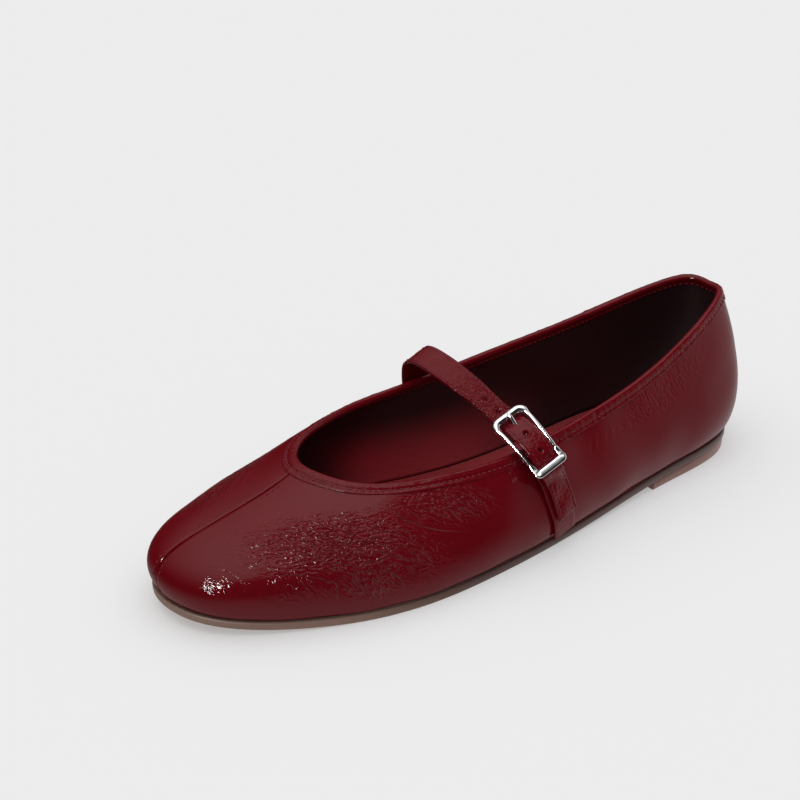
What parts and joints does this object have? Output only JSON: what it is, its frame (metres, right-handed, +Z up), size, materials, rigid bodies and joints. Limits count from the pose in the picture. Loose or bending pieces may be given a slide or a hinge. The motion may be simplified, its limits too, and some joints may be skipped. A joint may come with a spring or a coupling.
{
  "type": "mary jane flat shoe",
  "caption": "Left round-toed mary jane flat in crinkled patent leather, with a narrow instep strap, a square metal buckle on the outer side, a thin sole and a low heel.",
  "frame": {"origin": "middle of the shoe's bounding box, on the floor that it stands on", "axes": "+X from heel to toe, +Y to the outer (lateral) side where the buckle is, +Z up from the floor"},
  "size_m": [0.2474, 0.0845, 0.0635],
  "materials": {
    "patent_leather": "high gloss, crinkled patent",
    "insole_leather": "matt, smooth",
    "sole": "satin tan",
    "heel_block": "satin brown",
    "buckle_metal": "polished silver"
  },
  "bodies": {
    "root": {"outsole": "sole", "heel": "heel_block", "insole": "insole_leather", "upper": "patent_leather", "heel_tab": "patent_leather", "instep_strap": "patent_leather", "buckle_strap": "patent_leather", "buckle_frame": "buckle_metal", "buckle_prong": "buckle_metal"}
  },
  "joints": []
}
